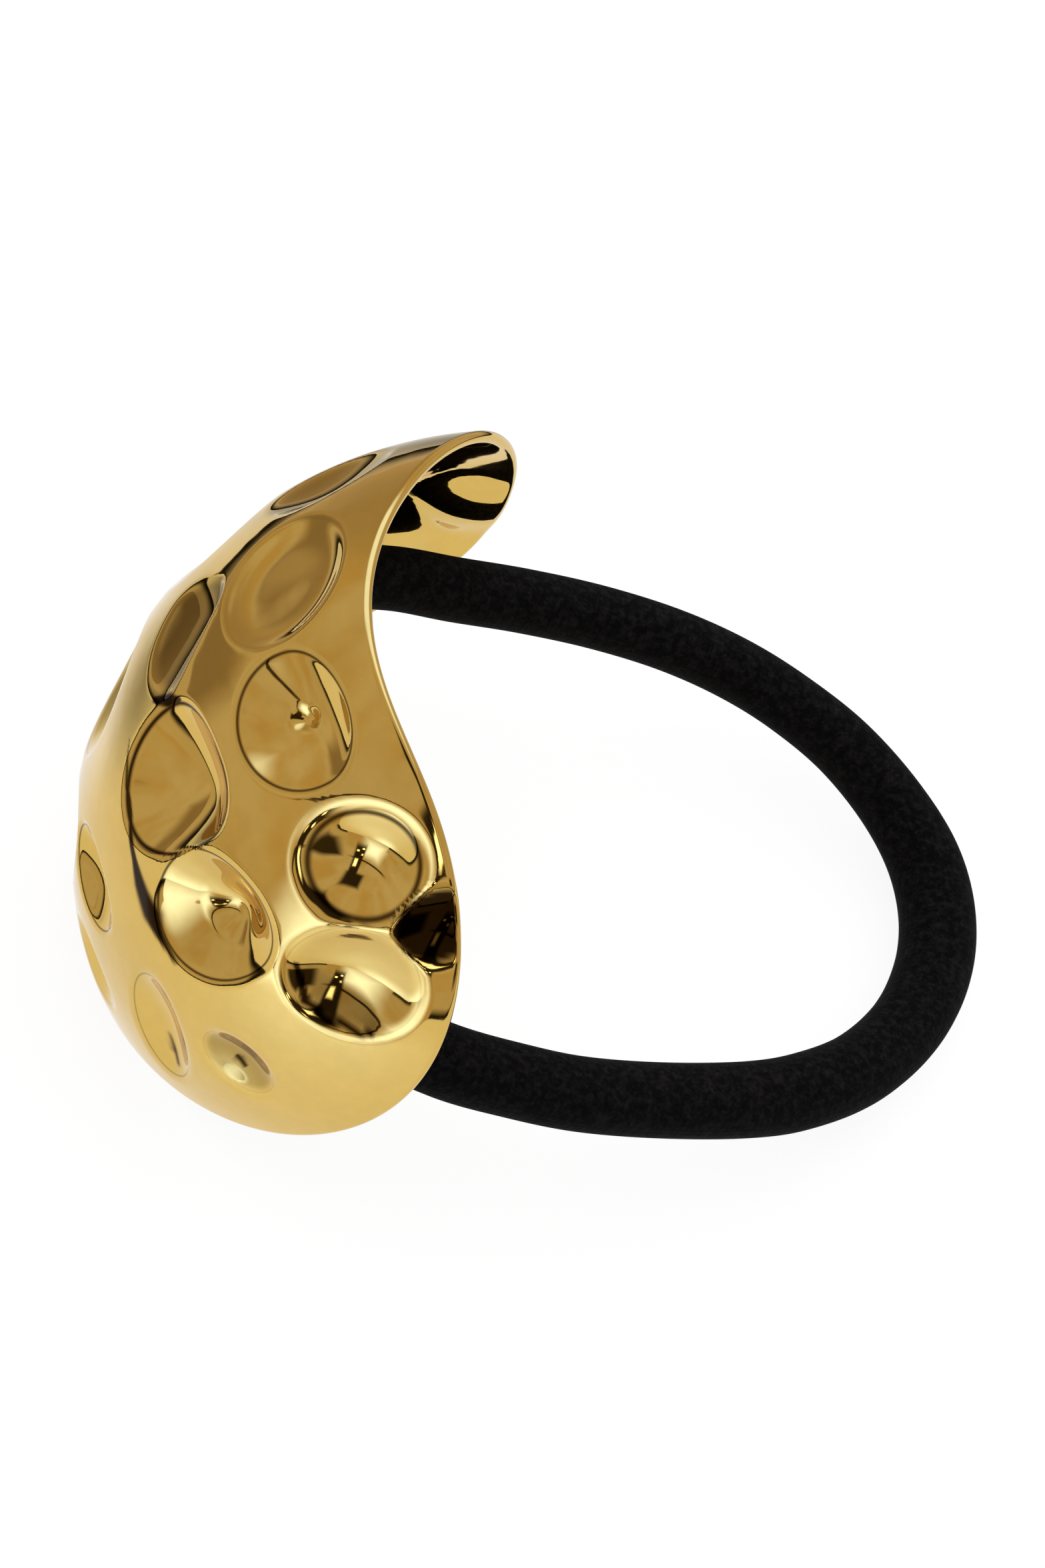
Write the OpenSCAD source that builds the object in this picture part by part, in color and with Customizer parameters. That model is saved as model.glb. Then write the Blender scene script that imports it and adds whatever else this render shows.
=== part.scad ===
// Hair tie: a dented oval metal plate, bent round a ponytail, on a loop of covered elastic.
// The shape is worked out in the frame of the elastic's loop, with u away from the plate, v up the
// plate's length and w along the ponytail, and is then laid down on its side.

/* [Plate] */
// Length of the plate, measured along its bend
plate_l = 68; // [50:0.5:90]
// Width of the plate, measured across it
plate_w = 41.4; // [30:0.2:55]
// Thickness of the metal
wall = 0.8; // [0.6:0.1:1.5]
// Radius of the bend along the plate, at its middle
bend_r = 20.9; // [18:0.1:30]
// Part by which the bend gets tighter towards the upper end
bend_more = 0.11; // [0:0.01:0.3]
// Radius of the bend across the plate
cross_r = 29.8; // [22:0.1:60]
// Bluntness of the oval's ends, where 2 is an ellipse
blunt = 3.4; // [2:0.1:4]
// Bluntness of the upper end's far half
blunt_far = 2; // [2:0.1:4]
// Turn of the plate's section from its middle to each end, in degrees
twist = 10.5; // [0:0.5:15]
// Distance by which the ends lie nearer the upper rim than the middle does
bow = 1.7; // [0:0.1:3]
// Slope of the plate's length against the loop
lean = -0.02; // [-0.05:0.01:0.05]
// Place of the plate's middle along the ponytail
shift = -1.5; // [-3:0.1:0]

/* [Elastic] */
// Factor on the thickness of the elastic
band_scale = 1; // [0.7:0.05:1.1]
// Number of rings along the loop
band_rings = 70; // [40:1:80]

/* [Bails] */
// Length of a strap loop along the elastic
bail_l = 3.6; // [3:0.2:5.4]
// Thickness of the strap
strap = 0.7; // [0.5:0.1:1]
// Room between the strap and the elastic
slack = 0.6; // [0.5:0.1:0.8]

/* [Hidden] */

// Cells of the plate's surface along it and across it
cells_l = 54;
cells_w = 34;
// Steps in the sum that follows the bend
bend_steps = 16;
// Cells each way of the small blocks that follow the plate
block_cells = 6;
// Sides of the elastic's tube and of a strap loop's round
band_sides = 12;
strap_sides = 48;
// Sharpness of the ridge where two dents meet
ridge = 6;

// Columns of the dents table, in mm: place along and across, half length, half width, turn in
// degrees, depth; then the power of the bowl, the softness of its edge, and the deepest place's
// distance from the middle, along and across, as a part of the half sizes
AT_L = 0;
AT_W = 1;
HALF_L = 2;
HALF_W = 3;
TURN = 4;
DEPTH = 5;
BOWL = 6;
SOFT = 7;
OFF_L = 8;
OFF_W = 9;
dents = [
    [3.9, 14, 5.8, 4.4, 10, 0.9, 4, 0.3, 0, 0],
    [15, 12, 4.6, 3.6, 25, 1.2, 2, 0.2, 0, 0],
    [2.2, 5.3, 4.4, 2.9, 25, 1, 2, 0.2, 0.4, 0.4],
    [-8.1, 14.1, 5.7, 4.0, 0, 1.6, 2, 0.12, 0, 0.15],
    [-7.8, 3.6, 5, 5, 0, 2.3, 2, 0.16, -0.15, 0.34],
    [-16.7, 1.6, 4.6, 4.6, 0, 1.8, 2, 0.3, -0.05, 0.2],
    [-20.3, 12.9, 4.7, 3.9, 10, 1.9, 2, 0.5, 0, 0],
    [-26, 6.2, 4.6, 4.2, 0, 1.7, 2, 0.3, 0.1, -0.1],
    [-27.6, 12.7, 3.2, 3.1, 0, 0.8, 2, 0.3, 0, 0],
    [-9.2, -8.8, 3.9, 2.6, 0, 1.6, 2, 0.2, 0, 0],
    [4, -5.6, 5.2, 4.6, 0, 2, 2, 0.15, 0, 0],
    [-20.2, -10.4, 5, 2.4, 52, 1.2, 2, 0.3, 0, 0],
    [-24.9, -6.1, 2.8, 2.3, 20, 1, 2, 0.5, 0, 0],
    [13, 2.4, 4.6, 4.4, 0, 1.1, 2, 0.3, 0, 0],
    [14.2, -8.2, 4.8, 5, 0, 1.2, 2, 0.3, 0, 0],
    [23.6, 8.2, 3.6, 4.2, 0, 0.8, 2, 0.3, 0, 0],
    [27, -2, 4.5, 5, 0, 1.2, 2, 0.3, 0, 0],
    [30.8, 4, 3.6, 3.6, 0, 1, 2, 0.5, 0, 0],
    [23, -11.2, 4.2, 3.6, 0, 0.9, 2, 0.3, 0, 0],
    [5.6, -15.4, 4.8, 3.6, 0, 1.2, 2, 0.3, 0, 0],
    [-3.4, -13.4, 3.6, 3.8, 0, 1.2, 2, 0.3, 0, 0],
    [-13, -16, 3.8, 2.6, 0, 1, 2, 0.3, 0, 0],
];

// Columns of the elastic's route in the loop's plane: u, v and thickness
U = 0;
V = 1;
THICK = 2;
band_route = [
    [16.2, 14.2, 4.2],
    [21, 15.2, 4.25],
    [26, 16.3, 4.25],
    [31.5, 17.2, 4.25],
    [37, 17.6, 4.25],
    [42, 17.3, 4.25],
    [46.5, 16.3, 4.25],
    [51, 14.5, 4.4],
    [55, 11.6, 4.65],
    [57.8, 8.2, 5],
    [59.1, 4.2, 5.15],
    [58.9, 0, 5.15],
    [57.2, -4.4, 5],
    [54, -8.5, 4.95],
    [50, -11.5, 5],
    [46, -13.5, 4.95],
    [40, -15.6, 4.85],
    [34, -17.2, 4.8],
    [29, -17.9, 4.8],
    [24, -18.2, 4.8],
    [19, -17.6, 4.6],
    [14.8, -15.4, 4.4],
    [11, -12.1, 4.3],
    [7.7, -7.3, 4.2],
    [6.1, -1.9, 4.2],
    [6.5, 4, 4.2],
    [8.4, 9, 4.2],
    [11.8, 12.4, 4.2],
];

// Columns of the bails table: place along the plate, middle of the strap loop in the loop's plane,
// and the elastic's direction there, turned from v towards u in degrees
PLACE = 0;
CENTRE = 1;
WAY = 2;
bails = [
    [16.6, [10.05, 11.0], 46.5],
    [-24.9, [14.75, -15.38], -55.5],
];

// Length of a bail's legs before the plate cuts them off, and depth that the cutting block covers
bail_reach = 8;
bail_depth = 12;

// The upper bail's flat tongue, soldered along the inner face towards the tip: its middle along and
// across the plate, its length, width and depth in the solder
tongue_s = 27;
tongue_t = -4.1;
tongue_l = 10;
tongue_w = 3.4;
solder = 0.25;

// Lie on the side: turns about u and v, then the move that puts the lowest point at zero and
// centres the whole
roll = 1.17;
tip = 19.14;
rest_move = [-28.19, 0.92, 21.94];

half_l = plate_l / 2;
deg = 180 / PI;

function total(list) = list * [for (value = list) 1];

// Direction of the plate's middle line at a distance s from its middle, turned from v towards u
function bend(s) = deg * (s + bend_more * s * s / plate_l) / bend_r;

// Middle line in the loop's plane, as the sum of short steps along the bend
function middle_line(s) =
    let (turns = [for (i = [0.5:bend_steps]) bend(s * i / bend_steps)])
    s / bend_steps * [total([for (turn = turns) sin(turn)]), total([for (turn = turns) cos(turn)])];

// Distance of the rim from the middle line at s, on the far side for a way of -1 and the near for 1
function half_width(s, way) =
    let (power = s > 0 && way < 0 ? blunt_far : blunt)
    plate_w / 2 * sqrt(max(1 - pow(abs(s) / half_l, power), 0));

// Distance from a dent's deepest place along one of its axes, 1 at the dent's edge
function from_deepest(x, off) = (x - off) / (1 - off * sign(x - off));

// Depth of one dent, which is a bowl with a rounded edge, and of all of them at a point of the plate
function dent_depth(dent, s, t) =
    let (
        ds = s - dent[AT_L],
        dt = t - dent[AT_W],
        p = from_deepest((ds * cos(dent[TURN]) + dt * sin(dent[TURN])) / dent[HALF_L], dent[OFF_L]),
        q = from_deepest((dt * cos(dent[TURN]) - ds * sin(dent[TURN])) / dent[HALF_W], dent[OFF_W]),
        rise = 1 - pow(p * p + q * q, dent[BOWL] / 2),
        soft = dent[SOFT]
    )
    dent[DEPTH] * (rise > soft ? rise : pow(max(rise + soft, 0), 2) / (4 * soft));
function dents_depth(s, t) = pow(total([for (dent = dents) pow(dent_depth(dent, s, t), ridge)]), 1 / ridge);

// Point of the plate at s along and t across, sunk by depth below its smooth outer face
function skin(s, t, depth) =
    let (
        line = middle_line(s),
        turn = bend(s),
        across = deg * t / cross_r,
        tilt = twist * s / half_l,
        drop = cross_r * (1 - cos(across)),
        side = cross_r * sin(across),
        inward = drop * cos(tilt) - side * sin(tilt) + depth * cos(across - tilt),
        along = drop * sin(tilt) + side * cos(tilt) - depth * sin(across - tilt)
    )
    [
        line[U] + cos(turn) * inward,
        line[V] - sin(turn) * inward,
        along + shift + lean * s + bow * pow(s / half_l, 2)
    ];

// Rows of the plate's grid, closer together towards the ends and the rims
function row_at(i) = half_l * sin(180 * i / cells_l - 90);
function column_at(i, j) =
    let (part = sin(180 * j / cells_w - 90))
    half_width(row_at(i), sign(part)) * part;

// One face of the plate: a point for each end, and the rows between them
function face_points(sunk) = [
    skin(-half_l, 0, sunk),
    for (i = [1:cells_l - 1])
        for (j = [0:cells_w])
            let (s = row_at(i), t = column_at(i, j))
            skin(s, t, dents_depth(s, t) + sunk),
    skin(half_l, 0, sunk)
];
face_size = 2 + (cells_l - 1) * (cells_w + 1);
function at(i, j) = i == 0 ? 0 : i == cells_l ? face_size - 1 : 1 + (i - 1) * (cells_w + 1) + j;

function face_cells() = [
    for (i = [0:cells_l - 1])
        for (j = [0:cells_w - 1])
            for (corners = [
                [at(i, j), at(i + 1, j + 1), at(i, j + 1)],
                [at(i, j), at(i + 1, j), at(i + 1, j + 1)]
            ])
                if (corners[0] != corners[1] && corners[1] != corners[2] && corners[2] != corners[0])
                    corners
];

// Rim cells between the outer and the inner face, along both long edges
function rim_cells() = [
    for (i = [0:cells_l - 1])
        for (corners = [
            [at(i, 0), at(i, 0) + face_size, at(i + 1, 0) + face_size],
            [at(i, 0), at(i + 1, 0) + face_size, at(i + 1, 0)],
            [at(i, cells_w), at(i + 1, cells_w) + face_size, at(i, cells_w) + face_size],
            [at(i, cells_w), at(i + 1, cells_w), at(i + 1, cells_w) + face_size]
        ])
            corners
];

module shell() {
    cells = face_cells();
    polyhedron(
        points = concat(face_points(0), face_points(wall)),
        faces = concat(
            [for (cell = cells) [cell[0], cell[1], cell[2]]],
            [for (cell = cells) [cell[0], cell[2], cell[1]] + [1, 1, 1] * face_size],
            rim_cells()
        )
    );
}

// Block that follows the plate between two depths under its outer face: middle and half sizes along
// and across the plate
function block_grid(middle, half, depth) = [
    for (i = [0:block_cells])
        for (j = [0:block_cells])
            let (
                s = middle[0] + half[0] * (2 * i / block_cells - 1),
                t = middle[1] + half[1] * (2 * j / block_cells - 1)
            )
            skin(s, t, dents_depth(s, t) + depth)
];

module block(middle, half, depths) {
    last = block_cells;
    size = pow(last + 1, 2);
    function corner(i, j) = i * (last + 1) + j;
    function side(a, b) = [[a, b + size, b], [a, a + size, b + size]];
    polyhedron(
        points = concat(block_grid(middle, half, depths[0]), block_grid(middle, half, depths[1])),
        faces = [
            for (i = [0:last - 1])
                for (j = [0:last - 1])
                    for (cell = [
                        [corner(i, j), corner(i + 1, j + 1), corner(i, j + 1)],
                        [corner(i, j), corner(i + 1, j), corner(i + 1, j + 1)]
                    ])
                        each [cell, [cell[0], cell[2], cell[1]] + [1, 1, 1] * size],
            for (i = [0:last - 1])
                each concat(
                    side(corner(i, 0), corner(i + 1, 0)),
                    side(corner(i + 1, last), corner(i, last)),
                    side(corner(0, i + 1), corner(0, i)),
                    side(corner(last, i), corner(last, i + 1))
                )
        ]
    );
}

// A strap loop that stands on the plate's inner face and goes round the elastic
module bail(place, centre, way) {
    across = -shift - lean * place - bow * pow(place / half_l, 2);
    slope = deg * across / cross_r - twist * place / half_l;
    inner_r = band_route[0][THICK] / 2 + slack;
    outer_r = inner_r + strap;
    intersection() {
        translate([centre[U], centre[V], 0])
            rotate([0, 0, 90 - way])
                rotate([slope, 0, 0])
                    rotate([0, 90, 0])
                        linear_extrude(bail_l, center = true)
                            difference() {
                                union() {
                                    circle(outer_r, $fn = strap_sides);
                                    translate([-outer_r, 0])
                                        square([2 * outer_r, bail_reach]);
                                }
                                circle(inner_r, $fn = strap_sides);
                                translate([-inner_r, 0])
                                    square([2 * inner_r, bail_reach + 1]);
                            }
        block([place, across], [bail_l, 2 * outer_r], [wall / 2, bail_depth]);
    }
}

// A flat strip along the plate's inner face
module tongue() {
    block([tongue_s, tongue_t], [tongue_l, tongue_w] / 2, [wall - solder, wall + strap - solder]);
}

module plate() {
    color([0.83, 0.66, 0.3]) {
        shell();
        for (row = bails)
            bail(row[PLACE], row[CENTRE], row[WAY]);
        tongue();
    }
}

// Smooth closed curve through the route's points: u, v and thickness at a part of the loop
function route_at(part) =
    let (
        count = len(band_route),
        place = part * count,
        i = floor(place),
        f = place - i,
        p = [for (k = [-1:2]) band_route[(i + k + count) % count]]
    )
    (2 * p[1] + (p[2] - p[0]) * f + (2 * p[0] - 5 * p[1] + 4 * p[2] - p[3]) * f * f
        + (3 * p[1] - p[0] - 3 * p[2] + p[3]) * f * f * f) / 2;

function ring_of(k) =
    let (
        here = route_at(k / band_rings),
        ahead = route_at(((k + 0.1) % band_rings) / band_rings),
        way = [ahead[U] - here[U], ahead[V] - here[V]] / norm([ahead[U] - here[U], ahead[V] - here[V]]),
        radius = here[THICK] * band_scale / 2
    )
    [
        for (m = [0:band_sides - 1])
            let (angle = 360 * (m + 0.5) / band_sides)
            [
                here[U] + radius * cos(angle) * way[1],
                here[V] - radius * cos(angle) * way[0],
                radius * sin(angle)
            ]
    ];

module band() {
    color([0.07, 0.07, 0.07])
        polyhedron(
            points = [for (k = [0:band_rings - 1]) each ring_of(k)],
            faces = [
                for (k = [0:band_rings - 1])
                    for (m = [0:band_sides - 1])
                        let (
                            next_k = (k + 1) % band_rings,
                            next_m = (m + 1) % band_sides
                        )
                        each [
                            [
                                k * band_sides + m,
                                next_k * band_sides + next_m,
                                next_k * band_sides + m
                            ],
                            [
                                k * band_sides + m,
                                k * band_sides + next_m,
                                next_k * band_sides + next_m
                            ]
                        ]
            ]
        );
}

module at_rest() {
    translate(rest_move)
        rotate([roll, tip, 0])
            children();
}

at_rest() plate();
at_rest() band();
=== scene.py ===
"""A hair tie: a bent, dented gold plate on a loop of black covered elastic.

Shapes are worked out in millimetres in the frame of the elastic's loop, with u away from the plate,
v up the plate's length and w along the ponytail, and are then laid down as the part lies.
"""

import math
from collections import namedtuple

import bpy
import numpy as np
from bpy.props import FloatProperty, FloatVectorProperty, IntProperty, PointerProperty
from mathutils import Matrix, Vector


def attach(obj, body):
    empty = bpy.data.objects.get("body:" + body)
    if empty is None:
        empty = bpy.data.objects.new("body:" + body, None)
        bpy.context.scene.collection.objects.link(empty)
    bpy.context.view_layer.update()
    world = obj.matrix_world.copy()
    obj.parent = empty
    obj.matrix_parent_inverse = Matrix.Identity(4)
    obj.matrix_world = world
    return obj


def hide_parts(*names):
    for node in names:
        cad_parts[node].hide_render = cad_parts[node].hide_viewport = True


bl_info = {
    "name": "Hair Tie",
    "version": (1, 0, 0),
    "blender": (4, 5, 0),
    "location": "3D View > Sidebar > Hair Tie",
    "description": "Builds a hair tie with a dented gold plate on a loop of covered elastic",
    "category": "Add Mesh",
}

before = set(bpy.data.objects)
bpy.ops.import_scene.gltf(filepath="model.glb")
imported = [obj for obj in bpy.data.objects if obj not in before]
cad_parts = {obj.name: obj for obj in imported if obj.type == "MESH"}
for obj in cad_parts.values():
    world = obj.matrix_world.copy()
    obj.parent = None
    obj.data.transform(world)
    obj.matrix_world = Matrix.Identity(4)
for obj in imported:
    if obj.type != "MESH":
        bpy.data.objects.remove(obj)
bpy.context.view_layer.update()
BODY = "root"

MM = 0.001
TAU = 2 * math.pi

# Width of the photograph's frame and the camera's focal length in pixels, and the sensor's width in mm
FRAME_WIDTH = 1568
FOCAL_PIXELS = 9600
SENSOR = 36
# Where the camera stands, in millimetres, and its turns about X, Y and Z, in degrees
CAMERA_PLACE = (-50.44, -206.45, 362.4)
CAMERA_TURN = (30.0, -10.77, 5.04)

# How the part lies: turns about u and v in degrees, then a move in millimetres
ROLL = 1.17
TIP = 19.14
REST_MOVE = (-28.19, 0.92, 21.94)

# Width of the painted dark edge that a plain dent has, and of the one outside every dent
PLAIN_LINE = 0.05
# A dent: its middle along and across the plate, half its length and half its width, its turn in degrees
# and its depth; the power of its bowl, the softness of its edge, and how far its deepest place lies from
# its middle, as a part of the half sizes; then how much painted dark reflection and shade darken the gold
# in it and along its edge, and how wide that painted dark edge is. The last five are as the defaults say
# where a dent leaves them out
Dent = namedtuple(
    "Dent", "along across half_length half_width turn depth bowl edge off_long off_wide shade outline line",
    defaults=(0, 0, 0, 0.3, PLAIN_LINE),
)
DENTS = (
    Dent(3.9, 14, 5.8, 4.4, 10, 0.9, 4, 0.3, 0, 0, 0, 0.1),
    Dent(15, 12, 4.6, 3.6, 25, 1.2, 2, 0.2, 0, 0, 0.3, 0.15),
    Dent(2.2, 5.3, 4.4, 2.9, 25, 1, 2, 0.2, 0.4, 0.4, 0.48, 0.2),
    Dent(-8.1, 14.1, 5.7, 4.0, 0, 1.6, 2, 0.12, 0, 0.15, 0, 0.8, 0.07),
    Dent(-7.8, 3.6, 5, 5, 0, 2.3, 2, 0.16, -0.15, 0.34, 0, 0.95, 0.08),
    Dent(-16.7, 1.6, 4.6, 4.6, 0, 1.8, 2, 0.3, -0.05, 0.2, 0.05, 0.8, 0.06),
    Dent(-20.3, 12.9, 4.7, 3.9, 10, 1.9, 2, 0.5, 0, 0, 0, 0.85, 0.16),
    Dent(-26.0, 6.2, 4.6, 4.2, 0, 1.7, 2, 0.3, 0.1, -0.1, 0.1, 0.2),
    Dent(-27.6, 12.7, 3.2, 3.1, 0, 0.8, 2, 0.3, 0, 0, 1, 0.3),
    Dent(-9.2, -8.8, 3.9, 2.6, 0, 1.6, 2, 0.2, 0, 0, 0, 0.7, 0.06),
    Dent(4, -5.6, 5.2, 4.6, 0, 2, 2, 0.15, 0, 0, 0, 0.4),
    Dent(-20.2, -10.4, 5, 2.4, 52, 1.2, 2, 0.3, 0, 0, 0, 0.4, 0.06),
    Dent(-24.9, -6.1, 2.8, 2.3, 20, 1, 2, 0.5, 0, 0, 0.35, 0.2),
    Dent(13, 2.4, 4.6, 4.4, 0, 1.1, 2, 0.3),
    Dent(14.2, -8.2, 4.8, 5, 0, 1.2, 2, 0.3),
    Dent(23.6, 8.2, 3.6, 4.2, 0, 0.8, 2, 0.3),
    Dent(27, -2, 4.5, 5, 0, 1.2, 2, 0.3),
    Dent(30.8, 4, 3.6, 3.6, 0, 1, 2, 0.5),
    Dent(23, -11.2, 4.2, 3.6, 0, 0.9, 2, 0.3),
    Dent(5.6, -15.4, 4.8, 3.6, 0, 1.2, 2, 0.3),
    Dent(-3.4, -13.4, 3.6, 3.8, 0, 1.2, 2, 0.3),
    Dent(-13, -16, 3.8, 2.6, 0, 1, 2, 0.3),
)
# Sharpness of the ridge where two dents meet
RIDGE = 6

# A small pit inside a dent: its middle along and across the plate, its radius and its depth
Pit = namedtuple("Pit", "along across radius depth")
PITS = (
    Pit(-7.5, 14.5, 1.3, 0.4),
    Pit(-17.2, 2.8, 2.8, 0.85),
)

# Part by which a place has to be inside a dent before the dent's painted shade is full
SHADE_FADE = 0.4

# A point of a crease of painted dark reflection and shade in the gold. Points that follow each other under
# one name are joined. Each has its place along and across the plate, half the crease's width there and the
# crease's strength
Crease = namedtuple("Crease", "name along across half_width strength")
CREASES = (
    Crease("neck", -2.0, 3.6, 0.35, 0.9),
    Crease("neck", -2.6, 5.0, 0.75, 1),
    Crease("neck", -3.0, 6.0, 0.3, 0.9),
    Crease("side", -3.6, 0.6, 0.12, 0.6),
    Crease("side", -6.2, -0.6, 0.2, 0.9),
    Crease("side", -8.8, -1.2, 0.22, 0.95),
    Crease("side", -10.8, -1.7, 0.4, 1),
    Crease("side", -12.4, -2.2, 0.85, 1),
    Crease("side", -14.2, -2.6, 1.15, 1),
    Crease("side", -15.6, -3.0, 0.5, 1),
    Crease("side", -17.6, -3.2, 0.2, 0.7),
    Crease("front", -22.4, 4.4, 0.25, 0.9),
    Crease("front", -24.5, 2.7, 0.35, 1),
    Crease("front", -26.3, 2.4, 0.35, 1),
    Crease("front", -28.6, 3.1, 0.3, 1),
    Crease("front", -29.2, 3.3, 0.3, 1),
    Crease("hollow", -23.4, 4.3, 0.6, 0.3),
    Crease("hollow", -25.4, 3.7, 1.6, 0.4),
    Crease("hollow", -28.0, 4.0, 1.3, 0.45),
    Crease("hollow", -29.0, 3.9, 0.5, 0.6),
    Crease("low", -20.6, -11.9, 0.15, 0.5),
    Crease("low", -22.0, -12.6, 0.4, 0.9),
    Crease("low", -23.0, -13.0, 0.2, 0.8),
    Crease("spot", -24.9, -6.7, 0.5, 1),
    Crease("spot", -25.4, -6.8, 0.4, 1),
)
# How fast a crease gets dark from the ends of its width: 1 would make it full at its middle alone
CREASE_RISE = 1.6

# A point of the elastic's route: its place in the elastic's plane and the elastic's thickness there
RoutePoint = namedtuple("RoutePoint", "u v thick")
BAND_ROUTE = (
    RoutePoint(16.2, 14.2, 4.2),
    RoutePoint(21, 15.2, 4.25),
    RoutePoint(26, 16.3, 4.25),
    RoutePoint(31.5, 17.2, 4.25),
    RoutePoint(37, 17.6, 4.25),
    RoutePoint(42, 17.3, 4.25),
    RoutePoint(46.5, 16.3, 4.25),
    RoutePoint(51, 14.5, 4.4),
    RoutePoint(55, 11.6, 4.65),
    RoutePoint(57.8, 8.2, 5),
    RoutePoint(59.1, 4.2, 5.15),
    RoutePoint(58.9, 0, 5.15),
    RoutePoint(57.2, -4.4, 5),
    RoutePoint(54, -8.5, 4.95),
    RoutePoint(50, -11.5, 5),
    RoutePoint(46, -13.5, 4.95),
    RoutePoint(40, -15.6, 4.85),
    RoutePoint(34, -17.2, 4.8),
    RoutePoint(29, -17.9, 4.8),
    RoutePoint(24, -18.2, 4.8),
    RoutePoint(19, -17.6, 4.6),
    RoutePoint(14.8, -15.4, 4.4),
    RoutePoint(11, -12.1, 4.3),
    RoutePoint(7.7, -7.3, 4.2),
    RoutePoint(6.1, -1.9, 4.2),
    RoutePoint(6.5, 4, 4.2),
    RoutePoint(8.4, 9, 4.2),
    RoutePoint(11.8, 12.4, 4.2),
)
# Place on the route, in its points, where the elastic is behind the middle of the plate
BAND_START = 24
# Points that state the elastic's path
CORD_POINTS = 120

# A strap loop: its place along the plate, its middle in the elastic's plane, and the elastic's direction
# there, turned from v towards u in degrees
Bail = namedtuple("Bail", "name place u v way")
BAILS = (
    Bail("upper_bail", 16.6, 10.05, 11.0, 46.5),
    Bail("lower_bail", -24.9, 14.75, -15.38, -55.5),
)
# Radius of the strap's and of the tongue's edges, in millimetres
STRAP_EDGE = 0.15
TONGUE_EDGE = 0.2
# Depth in the wall, as a part of it, where a strap loop's legs end, and how deep the tongue is sunk in
# its solder, in millimetres
LEG_END = 0.55
SOLDER = 0.25
# The stretch of wall that is searched for a leg's end, each way from the loop's place along and across
# the plate, and the search's step, in millimetres
SEARCH_LONG = 7
SEARCH_WIDE = 8
SEARCH_STEP = 0.1
# Rings along a leg, round the half circle over the elastic, and along the tongue
LEG_RINGS = 8
ARCH_RINGS = 25
TONGUE_RINGS = 25

# Steps in which the oval and the elastic's route are measured before points are spaced along them
OVAL_STEPS = 20000
ROUTE_STEPS = 8000
# Part of the route between a point and the one ahead that gives its direction
AHEAD = 1e-5
# Power of the rings' spacing, which puts them closer together towards the rim
RING_SPACING = 0.8


# Sizes


class PlateSizes(bpy.types.PropertyGroup):
    """Sizes of the metal plate, in millimetres unless a name says otherwise."""

    length: FloatProperty(
        name="Length", description="Length measured along the bend, in mm", default=68.0, min=40, max=100
    )
    width: FloatProperty(
        name="Width", description="Width measured across the plate, in mm", default=41.4, min=20, max=60
    )
    wall: FloatProperty(name="Wall", description="Thickness of the metal, in mm", default=0.8, min=0.4, max=2)
    bend_radius: FloatProperty(
        name="Bend radius", description="Radius of the bend along the plate, in mm",
        default=20.9, min=15, max=40,
    )
    bend_more: FloatProperty(
        name="Bend change", description="Part by which the bend tightens towards the upper end", default=0.11
    )
    cross_radius: FloatProperty(
        name="Cross radius", description="Radius of the bend across the plate, in mm",
        default=29.8, min=20, max=80,
    )
    blunt: FloatProperty(
        name="Bluntness", description="Bluntness of the oval's ends, where 2 is an ellipse",
        default=3.4, min=2, max=5,
    )
    blunt_far: FloatProperty(
        name="Far bluntness", description="Bluntness of the upper end's far half", default=2.0, min=2, max=5
    )
    twist: FloatProperty(
        name="Twist", description="Turn of the section from the middle to each end, in degrees", default=10.5
    )
    bow: FloatProperty(
        name="Bow", description="Distance by which the ends lie nearer the upper rim, in mm", default=1.7
    )
    lean: FloatProperty(name="Lean", description="Slope of the length against the loop", default=-0.02)
    shift: FloatProperty(
        name="Shift", description="Place of the middle along the ponytail, in mm", default=-1.5
    )
    spokes: IntProperty(name="Spokes", description="Cells round the oval", default=420, min=64, max=1024)
    rings: IntProperty(
        name="Rings", description="Cells from the middle of the outer face to its rim",
        default=160, min=16, max=200,
    )
    rim_rings: IntProperty(
        name="Rim rings", description="Cells round the rim's nose", default=8, min=4, max=32
    )
    inner_rings: IntProperty(
        name="Inner rings", description="Cells from the middle of the inner face to its rim",
        default=40, min=16, max=200,
    )


class BailSizes(bpy.types.PropertyGroup):
    """Sizes of the strap loops and of the tongue on the plate's inner face."""

    length: FloatProperty(name="Length", description="Length along the elastic, in mm", default=3.6)
    strap: FloatProperty(name="Strap", description="Thickness of the strap, in mm", default=0.7)
    slack: FloatProperty(name="Slack", description="Room round the elastic, in mm", default=0.6)
    tongue_along: FloatProperty(
        name="Tongue along", description="Middle of the tongue along the plate, in mm", default=27
    )
    tongue_across: FloatProperty(
        name="Tongue across", description="Middle of the tongue across the plate, in mm", default=-4.1
    )
    tongue_length: FloatProperty(name="Tongue length", description="Length of the tongue, in mm", default=10)
    tongue_width: FloatProperty(name="Tongue width", description="Width of the tongue, in mm", default=3.4)


class BandSizes(bpy.types.PropertyGroup):
    """Sizes of the covered elastic."""

    thickness: FloatProperty(name="Thickness", description="Factor on the elastic's thickness", default=1.0)
    rings: IntProperty(name="Rings", description="Rings along the loop", default=900, min=80, max=2000)
    sides: IntProperty(name="Sides", description="Sides of the tube", default=48, min=12, max=96)
    stitch: FloatProperty(name="Stitch", description="Height of one stitch of the cover, in mm", default=0.42)
    columns: IntProperty(name="Columns", description="Columns of stitches round the cover", default=36)


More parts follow.
